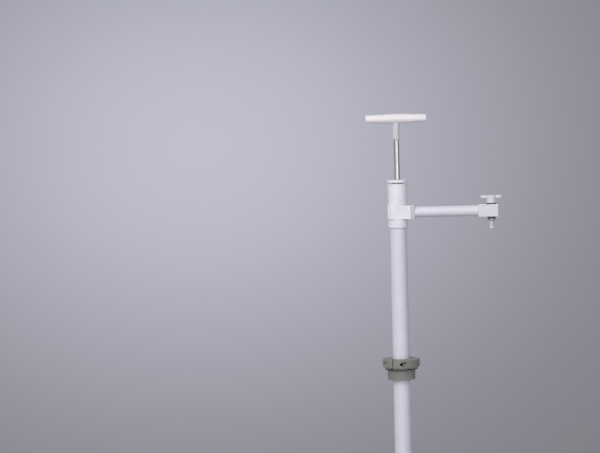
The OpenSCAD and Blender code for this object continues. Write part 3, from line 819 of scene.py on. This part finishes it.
def make_strainer():
    """Perforated plate with a slotted skirt below it, on which the pump stands."""
    lo, hi = span("inlet_strainer")
    outer = radius_of("inlet_strainer")
    skirt_r, plate_r, plate_z, skirt_top = 13 * MM, 15 * MM, lo.z + 8.5 * MM, lo.z + 9 * MM
    hole_r, hole_circle, slot_half, slot_h = 2.2 * MM, 8.4 * MM, 3.5 * MM, 5 * MM
    body = lathe([
        (0, plate_z), (skirt_r, plate_z), (skirt_r, lo.z), (outer, lo.z, 0.9 * MM),
        (outer, skirt_top, 0.6 * MM), (plate_r, skirt_top, 0), (plate_r, hi.z), (0, hi.z)], 0.3 * MM)
    cuts = [round_bar(hole_r, 10 * MM, Matrix.Translation((0, 0, plate_z - 3 * MM)), 32)]
    for k in range(6):
        turn = Matrix.Rotation(math.radians(60 * k), 4, "Z")
        cuts.append(block((10 * MM, -slot_half, lo.z - 5 * MM), (outer + 2 * MM, slot_half, lo.z + slot_h),
                          turn, 0.6 * MM))
        hole = turn @ Matrix.Translation((hole_circle, 0, plate_z - 3 * MM))
        cuts.append(round_bar(hole_r, 10 * MM, hole, 32))
    new_piece("slotted_strainer", combine(body, cuts), "pump", "white_plastic", "white_plastic",
              "inlet_strainer")


# ---------------------------------------------------------------- CAD nodes that keep their shape

def dress_cad_nodes():
    """Looks for the CAD nodes that are drawn as they are."""
    looks = {s["node"]: s["material_slot"] for s in frame["record"]["subparts"]}
    looks["clamp_screw"] = looks["clamp_washer"] = "oxide_steel"
    for name, node in NODES.items():
        if name not in REPLACED:
            node.data.materials.clear()
            node.data.materials.append(MATERIALS[looks[name]])


# ---------------------------------------------------------------- stage

def make_floor():
    """The floor that the pump's foot stands on, or just clears."""
    low = cad_box[0].z
    half = 60
    bm = bmesh.new()
    bmesh.ops.create_grid(bm, x_segments=8, y_segments=8, size=half)
    bm.transform(Matrix.Translation((0, 0, low - 0.5 * MM)))
    mesh = bpy.data.meshes.new("floor")
    bm.to_mesh(mesh)
    bm.free()
    floor = bpy.data.objects.new("floor", mesh)
    floor.data.materials.append(MATERIALS["floor"])
    bpy.context.scene.collection.objects.link(floor)


def area_light(name, place, target, size, power, color=(1, 1, 1)):
    """A soft lamp at place that faces target and that the camera can't see."""
    data = bpy.data.lights.new(name, "AREA")
    data.shape = "RECTANGLE"
    data.size, data.size_y = size
    data.energy = power
    data.color = color
    lamp = bpy.data.objects.new(name, data)
    lamp.location = place
    lamp.rotation_mode = "QUATERNION"
    lamp.rotation_quaternion = (Vector(target) - Vector(place)).to_track_quat("-Z", "Y")
    lamp.visible_camera = False
    bpy.context.scene.collection.objects.link(lamp)


def make_world():
    """Even light from all round; what the camera sees of it is a backdrop with a soft glow."""
    world = bpy.data.worlds.new("world")
    world.use_nodes = True
    nodes, links = world.node_tree.nodes, world.node_tree.links

    def node(kind, inputs, **settings):
        n = nodes.new(kind)
        for key, value in settings.items():
            setattr(n, key, value)
        for key, value in inputs.items():
            if isinstance(value, bpy.types.NodeSocket):
                links.new(value, n.inputs[key])
            else:
                n.inputs[key].default_value = value
        return n.outputs

    glow = (-0.158, 0.987, -0.006)      # where the backdrop is brightest
    stretch, breadth = (1, 1, 1.25), 0.0231
    edge, middle = (0.200, 0.197, 0.218, 1), (0.527, 0.523, 0.622, 1)
    front_way, front_edge, front_full = (-0.02, -0.995, 0.08), 0.80, 0.95
    tint = (0.93, 0.92, 1.0)
    at = nodes.new("ShaderNodeTexCoord").outputs["Generated"]
    off = node("ShaderNodeVectorMath", {0: at, 1: glow}, operation="SUBTRACT")[0]
    off = node("ShaderNodeVectorMath", {0: off, 1: stretch}, operation="MULTIPLY")[0]
    square = node("ShaderNodeVectorMath", {0: off, 1: off}, operation="DOT_PRODUCT")["Value"]
    fall = node("ShaderNodeMath", {0: square, 1: -1 / breadth}, operation="MULTIPLY")[0]
    near = node("ShaderNodeMath", {0: fall}, operation="EXPONENT")[0]
    seen = node("ShaderNodeMix", {"Factor": near, 6: edge, 7: middle}, data_type="RGBA")[2]
    ahead = node("ShaderNodeVectorMath", {0: at, 1: front_way}, operation="DOT_PRODUCT")["Value"]
    front = node("ShaderNodeMapRange", {"Value": ahead, "From Min": front_edge, "From Max": front_full,
                                        "To Min": 0.0, "To Max": FRONT}, interpolation_type="SMOOTHSTEP")[0]
    side = node("ShaderNodeVectorMath", {0: at, 1: (-SIDE, 0, 0)}, operation="DOT_PRODUCT")["Value"]
    level = node("ShaderNodeMath", {0: side, 1: AMBIENT}, operation="ADD")[0]
    level = node("ShaderNodeMath", {0: level, 1: front}, operation="ADD")[0]
    lit = node("ShaderNodeVectorMath", {0: tint, "Scale": level}, operation="SCALE")[0]
    camera_ray = node("ShaderNodeLightPath", {})["Is Camera Ray"]
    color = node("ShaderNodeMix", {"Factor": camera_ray, 6: lit, 7: seen}, data_type="RGBA")[2]
    links.new(color, nodes["Background"].inputs["Color"])
    bpy.context.scene.world = world


def make_light():
    """Key from the upper left, fill from the right and rim from behind."""
    heart = (0.05, 0, 0.25)
    area_light("key", (-1.0, -2.1, 2.0), heart, (1.6, 1.6), KEY, (1.0, 0.98, 0.985))
    area_light("fill", (2.0, -2.2, 0.9), heart, (1.4, 2.0), FILL, (0.95, 0.95, 1.0))
    area_light("rim", (0.6, 2.4, 1.8), heart, (1.4, 1.0), RIM)
    bpy.context.scene.view_settings.view_transform = "Standard"


make_camera()
MATERIALS = make_materials()
make_adapter()
make_gasket()
make_clamp_ring()
make_immersion_tube()
make_head()
make_gland_cap()
make_wiper()
make_outlet_arm()
make_stopcock_block()
make_wing()
make_stopcock_rings()
make_nozzle()
make_rod()
make_handle()
make_foot()
make_strainer()
dress_cad_nodes()
make_floor()
make_world()
make_light()
